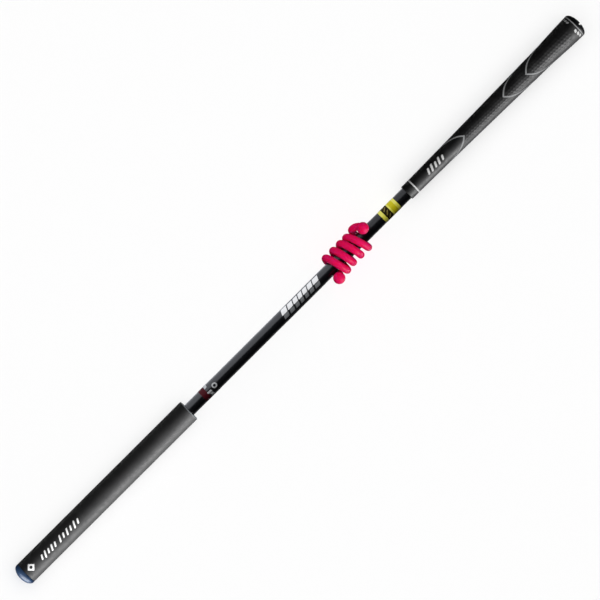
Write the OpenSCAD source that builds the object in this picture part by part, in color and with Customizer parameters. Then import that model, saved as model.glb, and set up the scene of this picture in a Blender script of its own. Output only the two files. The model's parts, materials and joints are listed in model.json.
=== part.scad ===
// Swing trainer stick: a golf grip, a straight shaft and an oversize weighted sleeve,
// with a bendable tie wound round the shaft that slides along it as a marker.
// The axis of the stick is X. x = 0 is the outer face of the grip's end cap, +X runs
// towards the sleeve's tip, +Z is the face with the graphics, as the stick lies.

/* [Overall] */
// Length from the grip's end cap to the tip
total_len = 880; // [820:5:1100]

/* [Grip] */
// Length of the grip, its end cap included
grip_len = 271; // [255:1:290]
// Diameter at the mouth, where the shaft comes out
grip_mouth_d = 18.2; // [17:0.1:20]
// How much the taper adds to the radius at the butt end
grip_taper = 4.6; // [3:0.1:5.5]
// How much the flare adds to the radius at the butt end
grip_flare = 1.0; // [0.4:0.1:1.6]
// Height of the end cap's dome
cap_h = 6.6; // [6:0.1:8]
// Diameter of the vent hole in the end cap
vent_d = 2.8; // [2:0.1:3.2]
// Length of the smooth collar at the mouth
collar_len = 11; // [8:0.5:16]

/* [Shaft] */
// Outside diameter of the shaft
shaft_d = 15; // [14:0.1:15.6]
// Wall thickness of the shaft
shaft_wall = 1.2; // [0.8:0.1:1.6]
// Thickness of the mounting tape under the grip and the sleeve
tape_t = 0.2; // [0.1:0.05:0.4]
// Thickness of the printed film bands
film_t = 0.1; // [0.05:0.05:0.15]

/* [Sleeve] */
// Outside diameter of the weighted sleeve
sleeve_d = 27; // [24:0.5:32]
// Length of the sleeve, without its end cap
sleeve_len = 256.1; // [225:0.1:280]
// Height of the blue end cap over the sleeve, its dome included
tip_h = 9.5; // [8:0.5:12]

/* [Weight] */
// Length of the steel rod inside the tip
rod_len = 190; // [120:5:205]
// Diameter of the steel rod
rod_d = 12.4; // [8:0.1:12.4]

/* [Printed bands] */
// Where the yellow band starts, from the grip's mouth
yellow_gap = 15.3; // [10:0.1:20]
// Width of the yellow band
yellow_w = 24; // [16:0.5:30]
// Where the panel starts, from the grip's mouth
panel_gap = 136; // [134:0.5:140]
// Length of the panel
panel_len = 60; // [40:1:66]
// How far round the shaft the panel goes, in degrees
panel_wrap = 150; // [90:5:180]
// Width of the lower band
lower_w = 22; // [16:0.5:26]
// Bare shaft between the lower band and the sleeve
lower_gap = 21; // [16:0.5:26]

/* [Tie] */
// Diameter of the tie's soft jacket
cord_d = 8.6; // [7:0.1:9]
// Diameter of the wire inside it
wire_d = 2; // [1.6:0.1:2.4]
// Free space between the winding and the shaft
slide_gap = 0.6; // [0.4:0.05:0.8]
// Distance between neighbouring turns
pitch = 11; // [11:0.1:12]
// Turns between the first and the last crossing of the left side
turns = 4; // [3:1:4]
// How far the turns lean along the shaft, to each side of square
lean = 1.6; // [0:0.1:2]
// Where the winding's first turn lies, from the grip's mouth
tie_at = 114; // [113:0.2:118]
// Diameter of the knobs on the tie's ends
knob_d = 13.8; // [12:0.1:14]

/* [Hidden] */
$fn = 96;

// Grip
grip_mouth_r = grip_mouth_d / 2;
ring_x = grip_len - collar_len;
flare_from = 14;
flare_to = 58;
taper_power = 1.15;
profile_step = 7;
ring_groove_w = 1.8;
ring_groove_depth = 0.35;
mouth_round = 0.8;
cap_flat_r = 1.9;
cap_wall = 4;
slot_w = 2;
slot_depth = 3.2;
slot_y = 2.8;
arc_steps = 18;

// Shaft
shaft_r = shaft_d / 2;
bore_r = shaft_r - shaft_wall;
tape_r = shaft_r + tape_t;
film_r = shaft_r + film_t;
sleeve_r = sleeve_d / 2;
tip_x = total_len - tip_h;
sleeve_x = tip_x - sleeve_len;
sleeve_round = 0.5;
skirt_h = 2;
stem_len = 14;
plug_len = 12;
rod_end_x = tip_x - stem_len;
yellow_x = grip_len + yellow_gap;
panel_x = grip_len + panel_gap;
lower_x = sleeve_x - lower_gap - lower_w;
// The panel's middle, measured from straight up towards -Y
panel_turn = 22;

// Tie. Its turns are counted in degrees: 0 is the side at -Y, 90 is straight up, and each
// whole turn brings the tie one pitch nearer to the grip.
cord_r = cord_d / 2;
wire_r = wire_d / 2;
knob_r = knob_d / 2;
wind_r = film_r + slide_gap + cord_r;
first_a = -194;
last_a = turns * 360 + 49;
// Each end lifts off the winding over this angle, to make room for its knob
first_lift_a = 110;
last_lift_a = 110;
lift = knob_r - cord_r + 0.3;
// Both ends run further along the shaft than a turn does
first_run_a = 62;
last_run_a = 52;
first_run = 2;
last_run = 5.9;
// How far the turns lean along the shaft, from back to front
bow = 0.9;
// Hand-wound unevenness along the shaft, and a looser stretch in the first turn
uneven = 0.95;
uneven_rate = 0.8;
slack = 1.5;
slack_a = 180;
slack_span = 150;
ring_a = 15;
cord_sides = 16;
wire_sides = 6;
socket_depth = 5;
// Distance from a knob's mouth to the middle of its ball
ball_at = 4.4;
wind_steps = ceil((last_a - first_a) / ring_a);
wind_x = grip_len + tie_at;

// ---- shapes and helpers ----

function ease(u) = let (v = min(1, max(0, u))) v * v * (3 - 2 * v);

function unit(v) = v / norm(v);

// Outside radius of the grip at x
function grip_r(x) = grip_mouth_r
    + grip_taper * pow(max(0, 1 - x / ring_x), taper_power)
    + grip_flare * ease((flare_to - x) / (flare_to - flare_from));

// Quarter ellipse from the rim to the flat in the middle, as [radius, height] points
function dome(rim_r, h, flat_r) = [
    for (i = [0 : arc_steps])
        let (a = i * (90 - asin(flat_r / rim_r)) / arc_steps) [rim_r * cos(a), h * sin(a)]
];

// Middle line of the tie at angle a
function lift_at(a) = lift * ease((first_a + first_lift_a - a) / first_lift_a)
    + lift * ease((a - last_a + last_lift_a) / last_lift_a)
    + slack * ease(1 - abs(a - slack_a) / slack_span);
function tie_x(a) = wind_x - pitch * a / 360 + lean * cos(a) - bow * sin(a) + uneven * sin(uneven_rate * a)
    + first_run * ease((first_a + first_run_a - a) / first_run_a)
    - last_run * ease((a - last_a + last_run_a) / last_run_a);
function tie_point(a) = let (r = wind_r + lift_at(a)) [tie_x(a), -r * cos(a), r * sin(a)];
function tie_dir(a) = unit(tie_point(a + 0.5) - tie_point(a - 0.5));

// The tie's stations: [place, direction, angle], with a straight stub at each end for the knobs
function stub(a, len) = [tie_point(a) + len * tie_dir(a), tie_dir(a), a];
stations = concat(
    [stub(first_a, -socket_depth)],
    [for (i = [0 : wind_steps]) stub(first_a + i * (last_a - first_a) / wind_steps, 0)],
    [stub(last_a, socket_depth)]
);

// One ring of points square to the tie
function ring(station, r, sides) = let (
    out = [0, -cos(station[2]), sin(station[2])],
    side = unit(cross(station[1], out)),
    up = cross(side, station[1])
) [for (j = [0 : sides - 1]) let (b = j * 360 / sides) station[0] + r * (cos(b) * up + sin(b) * side)];

// Two triangles for each side between ring i and ring i + 1, the points starting at base
function wall(base, sides, count, inward) = [
    for (i = [0 : count - 2]) for (j = [0 : sides - 1])
        let (
            a = base + i * sides + j,
            b = base + i * sides + (j + 1) % sides,
            c = a + sides,
            d = b + sides
        )
        each inward ? [[a, b, c], [b, d, c]] : [[a, c, b], [b, c, d]]
];

// Turn a shape drawn round Z so that it lies along X
module along_x(x) {
    translate([x, 0, 0]) rotate([0, 90, 0]) children();
}

module tube(x, len, r_out, r_in) {
    along_x(x) difference() {
        cylinder(h = len, r = r_out);
        translate([0, 0, -1]) cylinder(h = len + 2, r = r_in);
    }
}

// ---- grip ----

module grip_body() {
    steps = round((ring_x - cap_h) / profile_step);
    taper = [for (i = [0 : steps])
        let (x = cap_h + i * (ring_x - ring_groove_w / 2 - cap_h) / steps) [grip_r(x), x]];
    groove_r = grip_mouth_r - ring_groove_depth;
    groove_end = ring_x + ring_groove_w / 2;
    groove = [[groove_r, ring_x - ring_groove_w / 2], [groove_r, groove_end], [grip_mouth_r, groove_end]];
    mouth = [for (i = [0 : 6])
        [grip_mouth_r - mouth_round * (1 - cos(i * 15)), grip_len - mouth_round * (1 - sin(i * 15))]];
    color("#202123") along_x(0) rotate_extrude()
        polygon(concat([[tape_r, cap_h]], taper, groove, mouth, [[tape_r, grip_len]]));
}

module grip_end_cap() {
    rim_r = grip_r(cap_h);
    crown = [for (p = dome(rim_r, cap_h, cap_flat_r)) [p[0], cap_h - p[1]]];
    color("#0b0b0c") difference() {
        along_x(0) rotate_extrude()
            polygon(concat([[shaft_r, cap_wall], [shaft_r, cap_h]], crown,
                [[cap_flat_r, 0], [vent_d / 2, 0], [vent_d / 2, cap_wall]]));
        translate([-1, slot_y - slot_w / 2, -rim_r]) cube([slot_depth + 1, slot_w, 2 * rim_r]);
    }
}

module grip_tape() {
    color("#d8cfae") tube(cap_h, grip_len - cap_h, tape_r, shaft_r);
}

// ---- shaft and its printed bands ----

module shaft_tube() {
    color("#0d0d10") tube(cap_wall, tip_x - cap_wall, shaft_r, bore_r);
}

module yellow_band_label() {
    color("#d9cf2a") tube(yellow_x, yellow_w, film_r, shaft_r);
}

module shaft_panel_label() {
    color("#c9cacc") along_x(panel_x)
        rotate([0, 0, 180 - panel_turn - panel_wrap / 2])
        rotate_extrude(angle = panel_wrap) translate([shaft_r, 0]) square([film_t, panel_len]);
}

module lower_band_label() {
    color("#7a1820") tube(lower_x, lower_w, film_r, shaft_r);
}

// ---- weighted end ----

module sleeve() {
    edge = [for (i = [0 : 6])
        [sleeve_r - sleeve_round * (1 - sin(i * 15)), sleeve_round * (1 - cos(i * 15))]];
    color("#3a3a3c") along_x(sleeve_x) rotate_extrude()
        polygon(concat([[tape_r, 0]], edge, [[sleeve_r, sleeve_len], [tape_r, sleeve_len]]));
}

module sleeve_tape() {
    color("#d8cfae") tube(sleeve_x, sleeve_len, tape_r, shaft_r);
}

module sleeve_end_cap() {
    crown = [for (p = dome(sleeve_r, tip_h - skirt_h, 0)) [p[0], p[1] + skirt_h]];
    color("#2d4f8e") along_x(tip_x) rotate_extrude()
        polygon(concat([[0, -stem_len], [bore_r, -stem_len], [bore_r, 0], [sleeve_r, 0]], crown));
}

module weight_rod() {
    color("#9a9da1") along_x(rod_end_x - rod_len) cylinder(h = rod_len, d = rod_d);
}

module weight_stop_plug() {
    color("#2b2b2b") along_x(rod_end_x - rod_len - plug_len) cylinder(h = plug_len, r = bore_r);
}

// ---- sliding tie ----

module tie_jacket() {
    count = len(stations);
    outer = [for (s = stations) each ring(s, cord_r, cord_sides)];
    inner = [for (s = stations) each ring(s, wire_r, wire_sides)];
    base = count * cord_sides;
    // Each end face is a ring of triangles between the jacket's edge and the wire's
    far = (count - 1) * cord_sides;
    far_in = base + (count - 1) * wire_sides;
    color("#e1165a") polyhedron(
        points = concat(outer, inner),
        faces = concat(
            wall(0, cord_sides, count, false),
            wall(base, wire_sides, count, true),
            end_face(0, base, false),
            end_face(far, far_in, true)
        ),
        convexity = 8
    );
}

// Triangles from each side of the jacket's edge to the wire's nearest corner, and back
function near_corner(j) = round(j * wire_sides / cord_sides) % wire_sides;
function end_face(at, at_in, flip) = [
    for (j = [0 : cord_sides - 1])
        let (k = (j + 1) % cord_sides, m = near_corner(j), n = near_corner(k))
        each concat(
            [turned([at + j, at + k, at_in + m], flip)],
            m == n ? [] : [turned([at + k, at_in + n, at_in + m], flip)]
        )
];
function turned(t, flip) = flip ? [t[0], t[2], t[1]] : t;

module tie_core_wire() {
    count = len(stations);
    last = (count - 1) * wire_sides;
    color("#8c9096") polyhedron(
        points = [for (s = stations) each ring(s, wire_r, wire_sides)],
        faces = concat(
            wall(0, wire_sides, count, false),
            [[for (j = [0 : wire_sides - 1]) j]],
            [[for (j = [0 : wire_sides - 1]) last + wire_sides - 1 - j]]
        ),
        convexity = 8
    );
}

// A ball with a flat mouth and a blind socket for the tie's end, pointing along dir
module knob(place, dir) {
    translate(place) rotate([0, acos(dir[2]), atan2(dir[1], dir[0])]) difference() {
        translate([0, 0, ball_at]) sphere(r = knob_r);
        translate([0, 0, -knob_d]) cylinder(h = knob_d, r = knob_d);
        translate([0, 0, -1]) cylinder(h = socket_depth + 1, r = cord_r);
    }
}

module tie_lower_knob() {
    color("#e1165a") knob(tie_point(first_a), -tie_dir(first_a));
}

module tie_upper_knob() {
    color("#e1165a") knob(tie_point(last_a), tie_dir(last_a));
}

grip_body();
grip_end_cap();
grip_tape();
shaft_tube();
yellow_band_label();
shaft_panel_label();
lower_band_label();
sleeve();
sleeve_tape();
sleeve_end_cap();
weight_rod();
weight_stop_plug();
tie_jacket();
tie_core_wire();
tie_lower_knob();
tie_upper_knob();
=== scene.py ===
"""Swing trainer stick: its visible pieces, their materials and the studio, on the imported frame."""
import json
import math

import bmesh
import bpy
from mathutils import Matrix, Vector

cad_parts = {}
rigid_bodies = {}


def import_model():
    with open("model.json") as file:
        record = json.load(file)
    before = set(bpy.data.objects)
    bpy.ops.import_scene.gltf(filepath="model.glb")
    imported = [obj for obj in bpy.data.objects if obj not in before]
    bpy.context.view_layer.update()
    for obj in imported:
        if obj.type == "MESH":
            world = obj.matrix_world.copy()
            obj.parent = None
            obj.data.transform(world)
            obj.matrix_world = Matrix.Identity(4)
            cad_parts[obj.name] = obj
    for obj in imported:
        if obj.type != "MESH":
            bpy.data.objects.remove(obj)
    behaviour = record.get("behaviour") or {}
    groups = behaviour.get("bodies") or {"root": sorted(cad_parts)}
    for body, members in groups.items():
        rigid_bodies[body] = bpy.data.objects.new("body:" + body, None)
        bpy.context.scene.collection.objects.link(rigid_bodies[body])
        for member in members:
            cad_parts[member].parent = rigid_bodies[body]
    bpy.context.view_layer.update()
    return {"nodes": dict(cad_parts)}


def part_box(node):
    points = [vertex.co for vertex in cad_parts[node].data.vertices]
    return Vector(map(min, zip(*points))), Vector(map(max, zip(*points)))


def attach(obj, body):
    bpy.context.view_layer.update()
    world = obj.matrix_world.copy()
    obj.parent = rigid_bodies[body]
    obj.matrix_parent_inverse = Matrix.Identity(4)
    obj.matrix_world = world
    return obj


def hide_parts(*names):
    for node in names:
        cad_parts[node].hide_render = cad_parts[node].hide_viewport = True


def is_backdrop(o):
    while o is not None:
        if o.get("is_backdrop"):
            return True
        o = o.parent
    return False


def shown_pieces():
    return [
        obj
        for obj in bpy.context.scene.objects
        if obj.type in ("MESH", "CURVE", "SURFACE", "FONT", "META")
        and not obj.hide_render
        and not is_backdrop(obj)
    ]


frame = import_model()
MM = 0.001
STICK, TIE = "stick", "tie"


def ends(node):
    """Where a node starts and ends along the stick."""
    low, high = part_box(node)
    return low[0], high[0]


def outside(node):
    """Outside radius of a round node."""
    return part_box(node)[1][2]


# ---- sizes, in metres, from the frame ----

GRIP_START, GRIP_END = ends("grip_body")
SLEEVE_START, SLEEVE_END = ends("sleeve")
TIP_END = ends("sleeve_end_cap")[1]
YELLOW_START = ends("yellow_band_label")[0]
PANEL_START = ends("shaft_panel_label")[0]
LOWER_START, LOWER_END = ends("lower_band_label")
SHAFT_R = outside("shaft_tube")
FILM_R = outside("yellow_band_label")
TAPE_R = outside("grip_tape")
SLEEVE_R = outside("sleeve")
BORE_R = SHAFT_R - 1.2 * MM
SKIRT = 2 * MM

# The grip's outline, as in the CAD model
RING_X = GRIP_END - 11 * MM
MOUTH_R = 9.1 * MM
TAPER, TAPER_POWER = 4.6 * MM, 1.15
FLARE, FLARE_FROM, FLARE_TO = 1.0 * MM, 14 * MM, 58 * MM
RING_HALF, RING_DEPTH = 0.9 * MM, 0.35 * MM

# The moulded arches: where each one's point lies, and which way it opens (-1 is to the butt)
ARCHES = [(84.1 * MM, -1), (119.6 * MM, -1), (181.5 * MM, 1)]
ARCH_RISE, ARCH_CURL = 0.19 * MM, 3.5e-5 * MM
ARCH_W = 1.6 * MM

# The tie's middle line, as in the CAD model: angles in degrees, 0 at -Y and 90 straight up
CORD_R = 4.3 * MM
WIRE_R = 1.0 * MM
WIND_R = FILM_R + 0.6 * MM + CORD_R
WIND_X = GRIP_END + 114 * MM
PITCH, LEAN, BOW = 11 * MM, 1.6 * MM, 0.9 * MM
FIRST_A, LAST_A = -194, 4 * 360 + 49
LIFT, FIRST_LIFT_A, LAST_LIFT_A = 2.9 * MM, 110, 110
FIRST_RUN, FIRST_RUN_A = 2.0 * MM, 62
LAST_RUN, LAST_RUN_A = 5.9 * MM, 52
UNEVEN, UNEVEN_RATE = 0.95 * MM, 0.8
SLACK, SLACK_A, SLACK_SPAN = 1.5 * MM, 180, 150
KNOB_R = 6.9 * MM
KNOB_BALL = 4.4 * MM
SOCKET = 5 * MM


def ease(u):
    v = min(1.0, max(0.0, u))
    return v * v * (3 - 2 * v)


def grip_radius(x):
    """Outside radius of the grip, before its moulded texture."""
    taper = TAPER * max(0.0, 1 - x / RING_X) ** TAPER_POWER
    return MOUTH_R + taper + FLARE * ease((FLARE_TO - x) / (FLARE_TO - FLARE_FROM))


def shaft_radius(x):
    """Outside radius of the printed films: the same at every x."""
    return FILM_R


def sleeve_radius(x):
    """Outside radius of the sleeve: the same at every x."""
    return SLEEVE_R


# ---- materials ----


class Shader:
    """A principled material and a few short calls to grow its nodes."""

    def __init__(self, name, base, roughness, metallic=0.0, **sockets):
        self.material = bpy.data.materials.new(name)
        self.material.use_nodes = True
        self.tree = self.material.node_tree
        self.surface = self.tree.nodes["Principled BSDF"]
        self.base = base
        self.set("Base Color", (*base, 1))
        self.set("Roughness", roughness)
        self.set("Metallic", metallic)
        for socket, value in sockets.items():
            self.set(socket.replace("_", " "), value)
        self.place = self.node("ShaderNodeTexCoord").outputs["Object"]
        self.material.diffuse_color = (*base, 1)

    def set(self, socket, value):
        self.surface.inputs[socket].default_value = value

    def node(self, kind, **values):
        made = self.tree.nodes.new(kind)
        for key, value in values.items():
            setattr(made, key, value)
        return made

    def link(self, source, target):
        self.tree.links.new(source, target)

    def noise(self, scale, detail=3.0, stretch=(1, 1, 1)):
        """Noise of that many cells per metre."""
        mapping = self.node("ShaderNodeMapping")
        mapping.inputs["Scale"].default_value = stretch
        self.link(self.place, mapping.inputs["Vector"])
        made = self.node("ShaderNodeTexNoise")
        made.inputs["Scale"].default_value = scale
        made.inputs["Detail"].default_value = detail
        self.link(mapping.outputs["Vector"], made.inputs["Vector"])
        return made.outputs["Fac"]

    def span(self, source, low, high, start=0.3, stop=0.7):
        """source, between start and stop, spread over low to high."""
        made = self.node("ShaderNodeMapRange")
        ranges = {"From Min": start, "From Max": stop, "To Min": low, "To Max": high}
        for socket, value in ranges.items():
            made.inputs[socket].default_value = value
        self.link(source, made.inputs["Value"])
        return made.outputs["Result"]

    def tint(self, factor, other):
        """The base colour turns to other as factor goes from 0 to 1."""
        mix = self.node("ShaderNodeMix", data_type="RGBA")
        before = self.surface.inputs["Base Color"]
        if before.links:
            self.link(before.links[0].from_socket, mix.inputs["A"])
        else:
            mix.inputs["A"].default_value = (*self.base, 1)
        mix.inputs["B"].default_value = (*other, 1)
        self.link(factor, mix.inputs["Factor"])
        self.link(mix.outputs["Result"], before)

    def rough(self, source):
        self.link(source, self.surface.inputs["Roughness"])

    def bump(self, height, distance, strength=1.0, socket="Normal"):
        made = self.node("ShaderNodeBump")
        made.inputs["Distance"].default_value = distance
        made.inputs["Strength"].default_value = strength
        before = self.surface.inputs[socket]
        if before.links:
            self.link(before.links[0].from_socket, made.inputs["Normal"])
        self.link(height, made.inputs["Height"])
        self.link(made.outputs["Normal"], before)


def rubber(name, base, roughness, grain, dust=0.25):
    """Moulded rubber: a fine grain in its skin, a little bloom, and uneven sheen."""
    made = Shader(name, base, roughness, Specular_IOR_Level=0.35)
    bloom = tuple(c + dust * (0.09 - c) for c in base)
    made.tint(made.span(made.noise(90, 6), 0.0, 0.5, 0.4, 0.75), bloom)
    made.rough(made.span(made.noise(260, 4), roughness - 0.07, roughness + 0.08))
    made.bump(made.noise(grain, 4), 0.06 * MM, 0.55)
    return made


def grip_rubber():
    return rubber("grip_rubber", (0.009, 0.009, 0.0095), 0.56, 2600).material


def cap_rubber():
    return rubber("cap_rubber", (0.006, 0.006, 0.007), 0.42, 1800, 0.05).material


def sleeve_rubber():
    """The sleeve's rubber, with a painted bluish highlight on the rim at its upper end."""
    made = rubber("sleeve_rubber", (0.0225, 0.0225, 0.023), 0.6, 2200)
    split = made.node("ShaderNodeSeparateXYZ")
    made.link(made.place, split.inputs["Vector"])
    # Painted highlight: the end face and its rounded edge are tinted a light bluish grey, fading out
    # within 1 mm along the sleeve.
    rim_highlight_from, rim_highlight_to = SLEEVE_START + 0.3 * MM, SLEEVE_START + 1.0 * MM
    made.tint(made.span(split.outputs["X"], 0.8, 0.0, rim_highlight_from, rim_highlight_to), (0.085, 0.095, 0.102))
    return made.material


def tie_rubber():
    """Soft satin rubber in bright pink, a little translucent."""
    pink = (0.77, 0.007, 0.118)
    made = Shader("tie_rubber", pink, 0.44, Specular_IOR_Level=0.3, Subsurface_Weight=0.9)
    made.set("Subsurface Radius", (1.0, 0.08, 0.25))
    made.set("Subsurface Scale", 5.0 * MM)
    made.tint(made.span(made.noise(120, 4), 0.0, 0.45, 0.35, 0.75), (0.66, 0.005, 0.084))
    made.rough(made.span(made.noise(420, 3), 0.34, 0.5))
    made.bump(made.noise(1700, 4), 0.05 * MM, 0.5)
    return made.material


def lacquer(name, base, coat_roughness=0.03):
    """Gloss lacquer over a dark ground: a hard coat with a trace of orange peel."""
    made = Shader(name, base, 0.35, Specular_IOR_Level=0.5)
    made.set("Coat Weight", 1.0)
    made.set("Coat Roughness", coat_roughness)
    darker = tuple(0.75 * c for c in base)
    made.tint(made.span(made.noise(220, 5), 0.0, 0.6), darker)
    made.bump(made.noise(350, 2, (0.35, 1, 1)), 0.01 * MM, 0.15, "Coat Normal")
    return made.material


def ink(name, base, roughness=0.35, gloss=0.4):
    """Printed ink: an even colour with thin spots, under a faint gloss."""
    made = Shader(name, base, roughness, Specular_IOR_Level=gloss)
    thin = tuple(0.8 * c for c in base)
    made.tint(made.span(made.noise(900, 5), 0.0, 0.55, 0.45, 0.75), thin)
    made.rough(made.span(made.noise(700, 3), roughness - 0.06, roughness + 0.1))
    return made.material


def silver_paint():
    """Silver-grey paint filled into the grip's moulded lines."""
    made = Shader("silver_paint", (0.35, 0.356, 0.362), 0.5, Specular_IOR_Level=0.4)
    made.tint(made.span(made.noise(1300, 5), 0.0, 0.8), (0.22, 0.224, 0.228))
    made.bump(made.noise(3200, 3), 0.03 * MM, 0.5)
    return made.material


def blue_plastic():
    made = Shader("blue_plastic", (0.024, 0.06, 0.14), 0.48, Specular_IOR_Level=0.6)
    made.set("Coat Weight", 0.35)
    made.set("Coat Roughness", 0.4)
    made.tint(made.span(made.noise(160, 4), 0.0, 0.5), (0.022, 0.05, 0.105))
    made.bump(made.noise(900, 3), 0.02 * MM, 0.3)
    return made.material


def steel(name, base, roughness, scratch):
    made = Shader(name, base, roughness, metallic=1.0)
    lines = made.noise(scratch, 4, (0.06, 1, 1))
    made.rough(made.span(lines, roughness - 0.1, roughness + 0.15))
    made.bump(lines, 0.02 * MM, 0.3)
    return made.material


def crepe_tape():
    """Double-sided tape with its crosswise crepe."""
    made = Shader("mounting_tape", (0.55, 0.47, 0.3), 0.8)
    crepe = made.noise(700, 4, (4, 1, 1))
    made.tint(made.span(crepe, 0.0, 0.5), (0.42, 0.35, 0.22))
    made.bump(crepe, 0.05 * MM, 0.6)
    return made.material


def build_materials():
    return {
        "grip_rubber": grip_rubber(),
        "cap_rubber": cap_rubber(),
        "sleeve_rubber": sleeve_rubber(),
        "plug_rubber": rubber("plug_rubber", (0.02, 0.02, 0.02), 0.6, 2000).material,
        "tie_rubber": tie_rubber(),
        "shaft_lacquer": lacquer("shaft_lacquer", (0.004, 0.004, 0.005)),
        "panel_film": lacquer("panel_film", (0.005, 0.005, 0.006)),
        "lower_film": lacquer("lower_film", (0.006, 0.006, 0.007)),
        "yellow_film": lacquer("yellow_film", (0.6, 0.565, 0.065), 0.08),
        "olive_ink": ink("olive_ink", (0.42, 0.37, 0.004), 0.4, 0.2),
        "brown_ink": ink("brown_ink", (0.14, 0.11, 0.025), 0.4, 0.2),
        "black_ink": ink("black_ink", (0.012, 0.009, 0.002), 0.5, 0.06),
        "red_ink": ink("red_ink", (0.045, 0.003, 0.006), 0.45, 0.12),
        "white_ink": ink("white_ink", (0.66, 0.66, 0.66)),
        "grey_ink": ink("grey_ink", (0.16, 0.165, 0.17)),
        "pale_ink": ink("pale_ink", (0.34, 0.345, 0.35)),
        "silver_paint": silver_paint(),
        "blue_plastic": blue_plastic(),
        "weight_steel": steel("weight_steel", (0.5, 0.5, 0.5), 0.35, 500),
        "core_steel": steel("core_steel", (0.4, 0.4, 0.4), 0.3, 900),
        "mounting_tape": crepe_tape(),
    }


LOOKS = build_materials()


# ---- mesh building ----

ON_AXIS = 1e-7


def piece(name, verts, faces, look, body, sharp=35):
    """A smooth-shaded closed mesh that rides on a body."""
    mesh = bpy.data.meshes.new(name)
    mesh.from_pydata(verts, [], faces)
    grown = bmesh.new()
    grown.from_mesh(mesh)
    bmesh.ops.recalc_face_normals(grown, faces=grown.faces)
    grown.to_mesh(mesh)
    grown.free()
    mesh.shade_smooth()
    mesh.set_sharp_from_angle(angle=math.radians(sharp))
    mesh.materials.append(LOOKS[look])
    made = bpy.data.objects.new(name, mesh)
    bpy.context.scene.collection.objects.link(made)
    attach(made, body)
    return made


def round_at(x, r, angle):
    """The point at radius r and angle, counted from +Z towards +Y."""
    return (x, r * math.sin(angle), r * math.cos(angle))


def quads_between(first, second):
    """Faces between two rings of vertex numbers; a ring of one is a pole."""
    count = max(len(first), len(second))
    faces = []
    for j in range(count):
        k = (j + 1) % count
        corners = [first[j % len(first)], first[k % len(first)]]
        corners += [second[k % len(second)], second[j % len(second)]]
        faces.append(list(dict.fromkeys(corners)))
    return faces


def lathe(name, profile, look, body, sides=144, sharp=35):
    """A solid turned round the stick's axis.

    profile is (x, r) points: a closed loop, or from axis to axis.
    """
    verts, rings = [], []
    for x, r in profile:
        ring_sides = sides if r > ON_AXIS else 1
        rings.append(list(range(len(verts), len(verts) + ring_sides)))
        verts += [round_at(x, r, 2 * math.pi * j / sides) for j in range(ring_sides)]
    faces = []
    for first, second in zip(rings, rings[1:]):
        faces += quads_between(first, second)
    if len(rings[0]) > 1:
        faces += quads_between(rings[-1], rings[0])
    return piece(name, verts, faces, look, body, sharp)


def corner(x, r, size, from_a, to_a, steps=6):
    """Points of a round corner about (x, r), angles in degrees from +X towards +r."""
    angles = [math.radians(from_a + (to_a - from_a) * i / steps) for i in range(steps + 1)]
    return [(x + size * math.cos(a), r + size * math.sin(a)) for a in angles]


def tube(name, node, r_out, r_in, look, soft=0.03 * MM):
    """A plain tube with eased edges in place of a CAD node."""
    start, stop = ends(node)
    profile = [(start, r_in), (start, r_out - soft), (start + soft, r_out)]
    profile += [(stop - soft, r_out), (stop, r_out - soft), (stop, r_in)]
    made = lathe(name, profile, look, STICK)
    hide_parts(node)
    return made


# ---- printed shapes, wrapped round the stick ----

CUT = 0.5 * MM
OVER_FILM = 0.035 * MM
DIAMOND_SIZE = 1.35


def wrap(name, outlines, radius_at, look, lift=0.02 * MM, sink=0.06 * MM):
    """Thin printed shapes on a round surface.

    An outline is (x, s) points, s the arc from +Z towards +Y.
    """
    flat = bmesh.new()
    for outline in outlines:
        flat.faces.new([flat.verts.new((x, s, 0)) for x, s in outline])
    low = min(s for outline in outlines for _, s in outline)
    high = max(s for outline in outlines for _, s in outline)
    for i in range(math.floor(low / CUT), math.ceil(high / CUT)):
        everything = flat.verts[:] + flat.edges[:] + flat.faces[:]
        bmesh.ops.bisect_plane(flat, geom=everything, plane_co=(0, i * CUT, 0), plane_no=(0, 1, 0))
    bmesh.ops.triangulate(flat, faces=flat.faces[:])
    grown = bmesh.ops.extrude_face_region(flat, geom=flat.faces[:])
    lower = {v for v in grown["geom"] if isinstance(v, bmesh.types.BMVert)}
    for v in flat.verts:
        r = radius_at(v.co.x)
        v.co = Vector(round_at(v.co.x, r - sink if v in lower else r + lift, v.co.y / r))
    verts = [v.co[:] for v in flat.verts]
    flat.verts.index_update()
    faces = [[v.index for v in f.verts] for f in flat.faces]
    flat.free()
    return piece(name, verts, faces, look, STICK, 60)


def bar(x, s, length, height, slant=0.0, soft=0.25):
    """A slanted bar with rounded ends: length along the stick, height round it."""
    outline = []
    r = soft * min(length, height)
    steps = 4
    for sx, ss, start in ((1, 1, 0), (-1, 1, 90), (-1, -1, 180), (1, -1, 270)):
        for i in range(steps + 1):
            a = math.radians(start + i * 90 / steps)
            px = sx * (length / 2 - r) + r * math.cos(a)
            ps = ss * (height / 2 - r) + r * math.sin(a)
            outline.append((x + px + slant * ps, s + ps))
    return outline


def ring_parts(x, s, outer, inner, sides=32, parts=4, squareness=0.0):
    """A flat ring as a few arcs side by side; squareness pulls its outside towards a diamond."""
    def edge(r, i, square):
        a = 2 * math.pi * i / sides
        diamond = r / (abs(math.cos(a)) + abs(math.sin(a)))
        reach = r + square * (DIAMOND_SIZE * diamond - r)
        return (x + reach * math.cos(a), s + reach * math.sin(a))

    step = sides // parts
    made = []
    for p in range(parts):
        turn = range(p * step, (p + 1) * step + 1)
        outside_edge = [edge(outer, i, squareness) for i in turn]
        made.append(outside_edge + [edge(inner, i, 0.0) for i in reversed(turn)])
    return made


# ---- grip ----

DIMPLES_ROUND = 24
DIMPLE_PITCH = 4.1 * MM
DIMPLE_STEP = 9 / DIMPLES_ROUND
DIMPLE_R = 1.3 * MM
DIMPLE_DEPTH = 0.34 * MM
PLAIN_BUTT, BUTT_FADE = 17 * MM, 3 * MM
LINE_MARGIN = 1.6 * MM
GROOVE_DEPTH = 0.14 * MM
GROOVE_HALF = ARCH_W * 0.6
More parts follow.
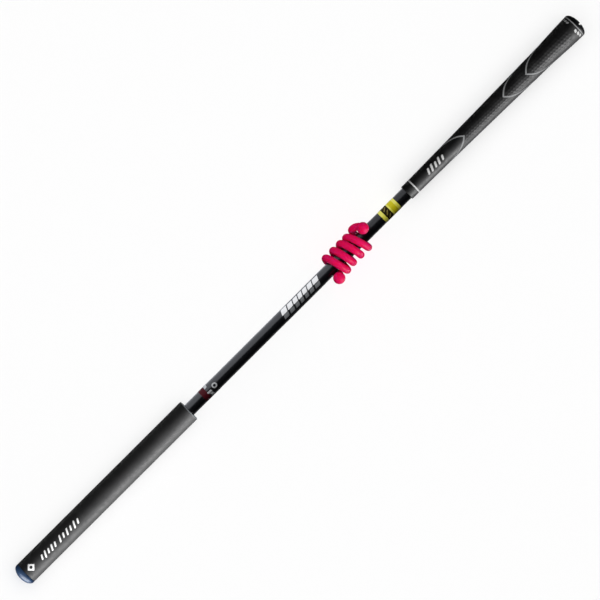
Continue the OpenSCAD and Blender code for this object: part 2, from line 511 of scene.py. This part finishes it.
# An arch crosses the grip at a slant, so its line is nearer than it is along the stick
SLANT = 0.75


def fold(angle):
    """Degrees from the nearest arch point round the grip: the arches are on both faces."""
    a = abs(math.degrees(math.atan2(math.sin(angle), math.cos(angle))))
    return min(a, 180 - a)


def arch_offset(angle):
    """How far an arch has run from its point at that angle."""
    b = fold(angle)
    return ARCH_RISE * b + ARCH_CURL * b**3


def arch_line(arch, angle):
    """Where an arch's line crosses that angle."""
    point, way = arch
    return point + way * arch_offset(angle)


def dimple(x, angle, r):
    """Round dimples in columns along the grip, each column a bit further on than the last."""
    turn = angle * DIMPLES_ROUND / (2 * math.pi)
    deepest = 0.0
    for column in (math.floor(turn), math.floor(turn) + 1):
        across = (turn - column) * 2 * math.pi * r / DIMPLES_ROUND
        place = x / DIMPLE_PITCH + DIMPLE_STEP * column
        ahead = (place - round(place)) * DIMPLE_PITCH
        d = math.hypot(ahead, across) / DIMPLE_R
        deepest = max(deepest, DIMPLE_DEPTH * max(0.0, 1 - d * d))
    return deepest


def grip_dent(x, angle):
    """How deep the moulded texture lies under the grip's plain outline."""
    gaps = [x - arch_line(arch, angle) for arch in ARCHES]
    nearest = SLANT * min(abs(gap) for gap in gaps)
    if nearest < GROOVE_HALF:
        return GROOVE_DEPTH
    if gaps[2] > 0:
        return 0.0
    fade = ease((nearest - GROOVE_HALF) / LINE_MARGIN) * ease((x - PLAIN_BUTT) / BUTT_FADE)
    return fade * dimple(x, angle, grip_radius(x))


def grip_body():
    """The grip: its moulded texture is in the mesh, a row of points every 0.45 mm."""
    columns = 160
    row = 0.45 * MM
    textured_end = RING_X - RING_HALF
    steps = round((textured_end - GRIP_START) / row)
    rows = [GRIP_START + (textured_end - GRIP_START) * i / steps for i in range(steps + 1)]
    turns = [2 * math.pi * j / columns for j in range(columns)]
    outline = [[round_at(x, grip_radius(x) - grip_dent(x, a), a) for a in turns] for x in rows]
    groove_r, soft = MOUTH_R - RING_DEPTH, 0.8 * MM
    collar_start = RING_X + RING_HALF
    collar = [(textured_end, groove_r), (collar_start, groove_r), (collar_start, MOUTH_R)]
    collar += [(collar_start + i * 1.6 * MM, MOUTH_R) for i in range(1, 6)]
    collar += list(reversed(corner(GRIP_END - soft, MOUTH_R - soft, soft, 0, 90)))
    collar += [(GRIP_END, TAPE_R), (GRIP_START, TAPE_R)]
    outline += [[round_at(x, r, a) for a in turns] for x, r in collar]
    verts = [v for ring in outline for v in ring]
    rings = [list(range(i * columns, (i + 1) * columns)) for i in range(len(outline))]
    faces = []
    for first, second in zip(rings, rings[1:] + rings[:1]):
        faces += quads_between(first, second)
    made = piece("grip_body_moulded", verts, faces, "grip_rubber", STICK, 50)
    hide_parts("grip_body")


def arch_ribbon(name, arch):
    """The painted line of one arch, all the way round the grip."""
    steps = 180
    path = []
    for i in range(steps):
        a = 2 * math.pi * i / steps
        x = arch_line(arch, a)
        path.append((x, a, grip_radius(x)))
    verts = []
    lift, sink, half = 0.03 * MM, 0.3 * MM, ARCH_W / 2
    for i in range(steps):
        x, a, r = path[i]
        before, after = path[i - 1], path[(i + 1) % steps]
        arc = 2 * math.pi / steps * r
        sides = []
        for dx in (x - before[0], after[0] - x):
            size = math.hypot(dx, arc)
            sides.append((arc / size, -dx / size))
        nx, ns = sides[0][0] + sides[1][0], sides[0][1] + sides[1][1]
        size = math.hypot(nx, ns)
        reach = half * min(2 / size, 1.8) / size
        for way in (-1, 1):
            px, pa = x + way * reach * nx, a + way * reach * ns / r
            verts += [round_at(px, grip_radius(px) + h, pa) for h in (lift * 0.3, -sink)]
        verts.append(round_at(x, r + lift, a))
    faces = []
    loop = (0, 4, 2, 3, 1)
    for i in range(steps):
        j = (i + 1) % steps
        for p, q in zip(loop, loop[1:] + loop[:1]):
            faces.append([5 * i + p, 5 * i + q, 5 * j + q, 5 * j + p])
    piece(name, verts, faces, "silver_paint", STICK, 60)


def painted_ring(name, x, r_out, half, depth, look="silver_paint"):
    """A painted ring round the grip, set into its surface by depth."""
    soft = 0.15 * MM
    profile = [(x - half, r_out - depth), (x - half, r_out - soft), (x - half + soft, r_out)]
    profile += [(x + half - soft, r_out), (x + half, r_out - soft), (x + half, r_out - depth)]
    lathe(name, profile, look, STICK)


def grip_marks():
    """Generic printed marks: a row of slanted bars near the mouth, and dashes at the butt."""
    heights = (7.0, 8.4, 6.4, 8.2, 5.6)
    bars = []
    for i, height in enumerate(heights):
        x, s = (237.0 - 5.5 * i) * MM, (0.0 - 0.5 * (i % 2)) * MM
        bars.append(bar(x, s, 2.7 * MM, height * MM, 0.45, 0.45))
    wrap("grip_print", bars, grip_radius, "white_ink")
    dashes = [bar((11.4 - 0.5 * i) * MM, (5.0 + 4.4 * i) * MM, 2.8 * MM, 3.6 * MM, 0.3, 0.3)
              for i in range(3)]
    wrap("butt_print_right", dashes, grip_radius, "white_ink")
    dashes = [bar(11.2 * MM, (-8.6 - 3.8 * i) * MM, 2.2 * MM, 3.0 * MM, -0.3, 0.3)
              for i in range(3)]
    wrap("butt_print_left", dashes, grip_radius, "pale_ink")


# ---- shaft ----

# Half way round the shaft, just short of where a band's two ends would touch
HALF_ROUND = math.pi * FILM_R * 0.999


def shaft():
    tube("shaft_tube_lacquered", "shaft_tube", SHAFT_R, BORE_R, "shaft_lacquer",
         soft=0.1 * MM)
    tube("yellow_band_film", "yellow_band_label", FILM_R, SHAFT_R, "yellow_film")
    tube("lower_band_film", "lower_band_label", FILM_R, SHAFT_R, "lower_film")


def all_round(x, w):
    """The outline of a band of width w, all the way round the shaft."""
    return [(x, -HALF_ROUND), (x + w, -HALF_ROUND), (x + w, HALF_ROUND), (x, HALF_ROUND)]


def yellow_band_prints():
    """A black bar with slanted breaks and a deeper yellow stretch, on the yellow film."""
    start = YELLOW_START
    wrap("yellow_band_black", [all_round(start + 11.6 * MM, 8.0 * MM)], shaft_radius,
         "black_ink")
    breaks = []
    for i in range(9):
        s = (i - 4) * 5.1 * MM
        breaks.append(bar(start + 15.6 * MM, s, 1.9 * MM, 4.4 * MM, 0.9, 0.2))
    wrap("yellow_band_breaks", breaks, shaft_radius, "brown_ink", OVER_FILM)
    wrap("yellow_band_deep", [all_round(start + 3.6 * MM, 6.0 * MM)], shaft_radius,
         "olive_ink")


def panel_prints():
    """Two rows of slanted blocks: white ones and their grey echo."""
    white, grey = [], []
    x = PANEL_START + 0.6 * MM
    for i, w in enumerate((9.0, 7.6, 7.0, 6.6, 7.2, 8.2, 8.8)):
        tall = 7.4 if i == 6 else 6.6
        middle = x + w * MM / 2
        white.append(bar(middle, (-0.7 - tall / 2) * MM, (w - 0.9) * MM, tall * MM, 0.42, 0.1))
        grey.append(bar(middle + 1.6 * MM, 2.3 * MM, (w - 1.8) * MM, 4.4 * MM, 0.42, 0.1))
        x += w * MM + 0.5 * MM
    wrap("panel_white_blocks", white, shaft_radius, "white_ink")
    wrap("panel_grey_blocks", grey, shaft_radius, "grey_ink")


def lower_band_prints():
    """A ring, a broken row of white blocks and a dark red band."""
    wrap("lower_band_red", [all_round(LOWER_END - 8.0 * MM, 7.2 * MM)], shaft_radius,
         "red_ink")
    ring = ring_parts(LOWER_START + 2.8 * MM, 0.2 * MM, 3.2 * MM, 1.7 * MM)
    wrap("lower_band_ring", ring, shaft_radius, "pale_ink", OVER_FILM)
    blocks = [bar(LOWER_START + 11.6 * MM, 1.6 * MM, 5.8 * MM, 2.4 * MM, -0.4, 0.2)]
    blocks.append(bar(LOWER_START + 10.4 * MM, 5.6 * MM, 3.2 * MM, 4.0 * MM, -0.2, 0.2))
    blocks.append(bar(LOWER_START + 11.8 * MM, -6.6 * MM, 3.6 * MM, 4.4 * MM, 0.2, 0.2))
    wrap("lower_band_blocks", blocks, shaft_radius, "pale_ink", OVER_FILM)


# ---- weighted end ----


def sleeve():
    soft = 0.5 * MM
    profile = [(SLEEVE_START, TAPE_R), (SLEEVE_START, SLEEVE_R - soft)]
    profile += list(reversed(corner(SLEEVE_START + soft, SLEEVE_R - soft, soft, 90, 180)))
    stations = 60
    first, last = SLEEVE_START + 2 * soft, SLEEVE_END - 0.3 * MM
    profile += [(first + (last - first) * i / stations, SLEEVE_R) for i in range(stations + 1)]
    profile += [(SLEEVE_END, SLEEVE_R - 0.3 * MM), (SLEEVE_END, TAPE_R)]
    made = lathe("sleeve_moulded", profile, "sleeve_rubber", STICK)
    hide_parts("sleeve")


def sleeve_end_cap():
    steps = 24
    stem_start = ends("sleeve_end_cap")[0]
    dome_h = TIP_END - SLEEVE_END - SKIRT
    rim = 0.25 * MM
    profile = [(stem_start, 0), (stem_start, BORE_R - 0.3 * MM), (stem_start + 0.3 * MM, BORE_R)]
    profile += [(SLEEVE_END, BORE_R), (SLEEVE_END, SLEEVE_R - rim), (SLEEVE_END + rim, SLEEVE_R)]
    for i in range(steps + 1):
        a = 0.5 * math.pi * i / steps
        r = SLEEVE_R * math.cos(a) if i < steps else 0
        profile.append((SLEEVE_END + SKIRT + dome_h * math.sin(a), r))
    made = lathe("sleeve_end_cap_moulded", profile, "blue_plastic", STICK, 144, 50)
    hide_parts("sleeve_end_cap")


def sleeve_marks():
    """Generic printed marks: a diamond ring, then two groups of slanted bars."""
    emblem = ring_parts(861.4 * MM, -0.3 * MM, 3.8 * MM, 1.8 * MM, squareness=1.0)
    wrap("sleeve_print_emblem", emblem, sleeve_radius, "white_ink")
    bars = []
    x = 844.6
    for height in (5.6, 7.6, 5.4, 6.8, 5.4):
        bars.append(bar(x * MM, 0.4 * MM, 2.2 * MM, height * MM, 0.5, 0.45))
        x -= 5.1
    x -= 3.0
    for height in (7.6, 5.4, 7.4, 5.4, 8.0, 5.6):
        bars.append(bar(x * MM, -0.2 * MM, 2.2 * MM, height * MM, 0.5, 0.45))
        x -= 5.6
    wrap("sleeve_print_bars", bars, sleeve_radius, "white_ink")


# ---- sliding tie ----


def tie_point(a):
    """The tie's middle line at angle a, in degrees."""
    r = WIND_R + SLACK * ease(1 - abs(a - SLACK_A) / SLACK_SPAN)
    r += LIFT * ease((FIRST_A + FIRST_LIFT_A - a) / FIRST_LIFT_A)
    r += LIFT * ease((a - LAST_A + LAST_LIFT_A) / LAST_LIFT_A)
    turn = math.radians(a)
    x = WIND_X - PITCH * a / 360 + LEAN * math.cos(turn) - BOW * math.sin(turn)
    x += UNEVEN * math.sin(math.radians(UNEVEN_RATE * a))
    x += FIRST_RUN * ease((FIRST_A + FIRST_RUN_A - a) / FIRST_RUN_A)
    x -= LAST_RUN * ease((a - LAST_A + LAST_RUN_A) / LAST_RUN_A)
    return Vector((x, -r * math.cos(turn), r * math.sin(turn)))


def tie_direction(a):
    return (tie_point(a + 0.5) - tie_point(a - 0.5)).normalized()


def tie_stations(step):
    """Places along the tie, with a straight stub at each end for the knobs."""
    count = math.ceil((LAST_A - FIRST_A) / step)
    turns = [FIRST_A + (LAST_A - FIRST_A) * i / count for i in range(count + 1)]
    made = [(tie_point(a), tie_direction(a), a) for a in turns]
    first, last = made[0], made[-1]
    start = (first[0] - SOCKET * first[1], first[1], first[2])
    stop = (last[0] + SOCKET * last[1], last[1], last[2])
    return [start] + made + [stop]


def tie_ring(station, r, sides):
    place, direction, a = station
    out = Vector((0, -math.cos(math.radians(a)), math.sin(math.radians(a))))
    side = direction.cross(out).normalized()
    up = side.cross(direction)
    turns = [2 * math.pi * j / sides for j in range(sides)]
    return [(place + r * (math.cos(t) * up + math.sin(t) * side))[:] for t in turns]


def tie_jacket():
    """The jacket, with the bore that holds its wire."""
    sides = 32
    stations = tie_stations(4)
    outer = [tie_ring(s, CORD_R, sides) for s in stations]
    inner = [tie_ring(s, WIRE_R, sides) for s in stations]
    verts = [v for ring in outer + inner[::-1] for v in ring]
    rings = [list(range(i * sides, (i + 1) * sides)) for i in range(2 * len(stations))]
    faces = []
    for first, second in zip(rings, rings[1:] + rings[:1]):
        faces += quads_between(first, second)
    made = piece("tie_jacket_soft", verts, faces, "tie_rubber", TIE, 50)
    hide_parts("tie_jacket")


def tie_knob(name, node, a, way):
    """A ball with a rounded lip round its socket, on the tie's end at angle a."""
    direction = tie_direction(a) * way
    mouth = math.sqrt(KNOB_R**2 - KNOB_BALL**2)
    lip = 0.35 * MM
    first = math.asin((mouth + 0.2 * MM) / KNOB_R)
    profile = [(SOCKET, 0), (SOCKET, CORD_R), (0.2 * MM, CORD_R), (0, CORD_R + 0.2 * MM)]
    profile += [(0, mouth - lip), (0.05 * MM, mouth - 0.1 * MM)]
    steps = 40
    for i in range(steps + 1):
        b = first + (math.pi - first) * i / steps
        profile.append((KNOB_BALL - KNOB_R * math.cos(b), KNOB_R * math.sin(b) if i < steps else 0))
    made = lathe(name, profile, "tie_rubber", TIE, 64, 50)
    turn = Vector((1, 0, 0)).rotation_difference(direction).to_matrix().to_4x4()
    turn.translation = tie_point(a)
    made.data.transform(turn)
    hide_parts(node)


# ---- pieces kept from the CAD model ----


def dress_cad_nodes():
    """The CAD nodes that stay as they are, each with its own material."""
    kept = {
        "grip_end_cap": "cap_rubber",
        "grip_tape": "mounting_tape",
        "sleeve_tape": "mounting_tape",
        "shaft_panel_label": "panel_film",
        "weight_rod": "weight_steel",
        "weight_stop_plug": "plug_rubber",
        "tie_core_wire": "core_steel",
    }
    for node, look in kept.items():
        cad = frame["nodes"][node]
        cad.data.materials.clear()
        cad.data.materials.append(LOOKS[look])


# ---- studio ----

CAMERA_AIM = (0.4396, 0.00035)
CAMERA_TURN = 135.08
CAMERA_FAR = 3.7206
LENS = 200
TIE_MIDDLE = (0.36, 0, 0)
BEYOND_TIP = (1.86, 0, 0)
OVERHEAD = (3.2, 3.2)


def camera():
    """Straight down on the lying stick, turned so that the butt points to the upper right."""
    data = bpy.data.cameras.new("camera")
    data.lens = LENS
    made = bpy.data.objects.new("camera", data)
    made.location = (*CAMERA_AIM, CAMERA_FAR)
    made.rotation_euler = (0, 0, math.radians(CAMERA_TURN))
    bpy.context.scene.collection.objects.link(made)
    bpy.context.scene.camera = made


def glow(name, colour, strength):
    """A stage surface that only shines."""
    made = bpy.data.materials.new(name)
    made.use_nodes = True
    tree = made.node_tree
    tree.nodes.clear()
    shine = tree.nodes.new("ShaderNodeEmission")
    shine.inputs["Color"].default_value = (*colour, 1)
    shine.inputs["Strength"].default_value = strength
    out = tree.nodes.new("ShaderNodeOutputMaterial")
    tree.links.new(shine.outputs["Emission"], out.inputs["Surface"])
    return made


def floor_paint():
    """Pale floor that can be seen through from below."""
    made = bpy.data.materials.new("floor_paint")
    made.use_nodes = True
    tree = made.node_tree
    surface = tree.nodes["Principled BSDF"]
    surface.inputs["Base Color"].default_value = (0.86, 0.86, 0.86, 1)
    surface.inputs["Roughness"].default_value = 0.9
    surface.inputs["Specular IOR Level"].default_value = 0.1
    side = tree.nodes.new("ShaderNodeNewGeometry")
    clear = tree.nodes.new("ShaderNodeBsdfTransparent")
    mix = tree.nodes.new("ShaderNodeMixShader")
    tree.links.new(side.outputs["Backfacing"], mix.inputs["Fac"])
    tree.links.new(surface.outputs["BSDF"], mix.inputs[1])
    tree.links.new(clear.outputs["BSDF"], mix.inputs[2])
    tree.links.new(mix.outputs["Shader"], tree.nodes["Material Output"].inputs["Surface"])
    return made


def stage_mesh(name, verts, faces, look):
    mesh = bpy.data.meshes.new(name)
    mesh.from_pydata(verts, [], faces)
    mesh.materials.append(look)
    made = bpy.data.objects.new(name, mesh)
    bpy.context.scene.collection.objects.link(made)
    made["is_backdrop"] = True
    return made


def floor():
    """The floor touches the tie and the sleeve's tip, so it leans by a fraction of a degree."""
    lowest = min((tie_point(a) for a in range(FIRST_A, LAST_A)), key=lambda p: p.z)
    tie_low = lowest.z - CORD_R
    slope = (-SLEEVE_R - tie_low) / (SLEEVE_END + SKIRT - lowest.x)
    size = 7.0
    level = [(x, y, tie_low + slope * (x - lowest.x) - 0.1 * MM)
             for x, y in ((-size, -size), (size, -size), (size, size), (-size, size))]
    made = stage_mesh("floor", level, [(0, 1, 2, 3)], floor_paint())
    made.visible_glossy = False
    made.visible_diffuse = False
    return made


def backdrop():
    """A white surround that only the camera sees."""
    grown = bmesh.new()
    bmesh.ops.create_icosphere(grown, subdivisions=3, radius=9.0)
    mesh = bpy.data.meshes.new("backdrop")
    grown.to_mesh(mesh)
    grown.free()
    mesh.materials.append(glow("backdrop_white", (1, 1, 1), 1.05))
    made = bpy.data.objects.new("backdrop", mesh)
    bpy.context.scene.collection.objects.link(made)
    made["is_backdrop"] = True
    for kind in ("diffuse", "glossy", "transmission", "shadow"):
        setattr(made, "visible_" + kind, False)


def group(name, objects):
    made = bpy.data.collections.new(name)
    for member in objects:
        made.objects.link(member)
    return made


def area_light(name, place, aim, size, power, only, colour=(1, 1, 1), glossy=True, shaded_by=None):
    """A light for some of the pieces, which the camera doesn't see."""
    data = bpy.data.lights.new(name, "AREA")
    data.shape = "RECTANGLE"
    data.size, data.size_y = size
    data.energy = power
    data.color = colour
    made = bpy.data.objects.new(name, data)
    made.location = place
    made.rotation_euler = (Vector(aim) - Vector(place)).to_track_quat("-Z", "Y").to_euler()
    made.visible_camera = False
    made.visible_glossy = glossy
    bpy.context.scene.collection.objects.link(made)
    made.light_linking.receiver_collection = only
    if shaded_by:
        made.light_linking.blocker_collection = shaded_by


def studio():
    middle = (0.5 * TIP_END, 0, 0)
    ground = group("ground", [floor()])
    backdrop()
    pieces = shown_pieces()

    def named(*starts):
        return [o for o in pieces if o.name.startswith(starts)]

    rubber_parts = named("grip_body", "grip_end", "sleeve_moulded")
    paint_parts = named("grip_print", "grip_rim", "arch", "butt", "collar")
    print_parts = named("sleeve_print")
    gloss_parts = named("shaft", "yellow", "lower", "panel")
    rubbers = group("lit_rubber", rubber_parts + print_parts)
    paints = group("lit_paint", paint_parts)
    glossy = group("lit_gloss", gloss_parts)
    ties = group("lit_tie", named("tie"))
    tips = group("lit_tip", named("sleeve_end_cap"))
    soft = group("lit_soft", print_parts + list(tips.objects))
    sleeves = group("lit_sleeve", named("sleeve_moulded"))
    shafts = group("shades_shaft", gloss_parts + rubber_parts + list(ties.objects))
    area_light("top_soft", (0.44, 0, 2.6), middle, OVERHEAD, 50, soft, glossy=False)
    area_light("print_soft", (0.44, -1.3, 2.2), middle, (3.2, 2.4), 62, glossy, glossy=False)
    area_light("floor_wash", (0.44, 0, 5.0), middle, (12, 12), 745, ground, glossy=False,
               shaded_by=ground)
    area_light("side_key", (0.52, 2.0, 0.55), middle, (2.4, 0.9), 158, rubbers)
    area_light("rubber_fill", (0.5, -0.4, 2.6), middle, OVERHEAD, 30, rubbers, glossy=False)
    area_light("back_low", (0.5, -1.8, -1.35), middle, (2.6, 1.2), 130, rubbers, glossy=False)
    area_light("paint_soft", (0.44, 0.3, 2.6), middle, OVERHEAD, 52, paints, glossy=False)
    area_light("paint_key", (0.44, 2.0, 0.9), middle, (2.6, 0.9), 36, paints)
    area_light("sleeve_edge", (-1.2, 0.7, 0.25), (SLEEVE_START, 0, 0), (0.8, 0.8), 60, sleeves)
    area_light("tie_top", (0.36, -0.2, 1.6), TIE_MIDDLE, (1.6, 1.6), 25, ties, glossy=False)
    area_light("tie_key", (0.3, 1.4, 0.45), TIE_MIDDLE, (0.9, 0.5), 12, ties)
    area_light("tie_rim", (0.2, 1.0, -0.45), TIE_MIDDLE, (1.2, 0.7), 27, ties)
    area_light("tie_below", (0.36, -0.9, -0.5), TIE_MIDDLE, (1.2, 1.2), 9, ties, glossy=False)
    area_light("left_card", (0.44, -0.7, 0), middle, (6, 5.4), 54, glossy, (0.9, 0.92, 1.0),
               shaded_by=shafts)
    area_light("lower_card", (1.86, -0.7, 0), BEYOND_TIP, (3, 5.4), 26, glossy, (0.88, 0.92, 1.0),
               shaded_by=shafts)
    area_light("right_card", (0.44, 1.6, -0.9), middle, (4, 0.7), 2, glossy)
    area_light("tip_key", (1.95, 0.55, 0.0), (TIP_END, 0, 0), (1.5, 1.3), 52, tips,
               (0.92, 0.96, 1.0))
    world = bpy.data.worlds.new("studio")
    world.use_nodes = True
    world.node_tree.nodes["Background"].inputs["Color"].default_value = (1, 1, 1, 1)
    world.node_tree.nodes["Background"].inputs["Strength"].default_value = 0.1
    world.cycles_visibility.glossy = False
    bpy.context.scene.world = world
    bpy.context.scene.view_settings.view_transform = "Standard"


camera()
grip_body()
for number, arch in enumerate(ARCHES, 1):
    arch_ribbon(f"arch_line_{number}", arch)
painted_ring("collar_ring_paint", RING_X, MOUTH_R - 0.03 * MM, RING_HALF, 0.3 * MM, "white_ink")
painted_ring("grip_rim_paint", GRIP_START + 0.75 * MM, grip_radius(GRIP_START), 0.7 * MM, 0.3 * MM)
grip_marks()
shaft()
yellow_band_prints()
panel_prints()
lower_band_prints()
sleeve()
sleeve_end_cap()
sleeve_marks()
tie_jacket()
tie_knob("tie_lower_knob_soft", "tie_lower_knob", FIRST_A, -1)
tie_knob("tie_upper_knob_soft", "tie_upper_knob", LAST_A, 1)
dress_cad_nodes()
studio()
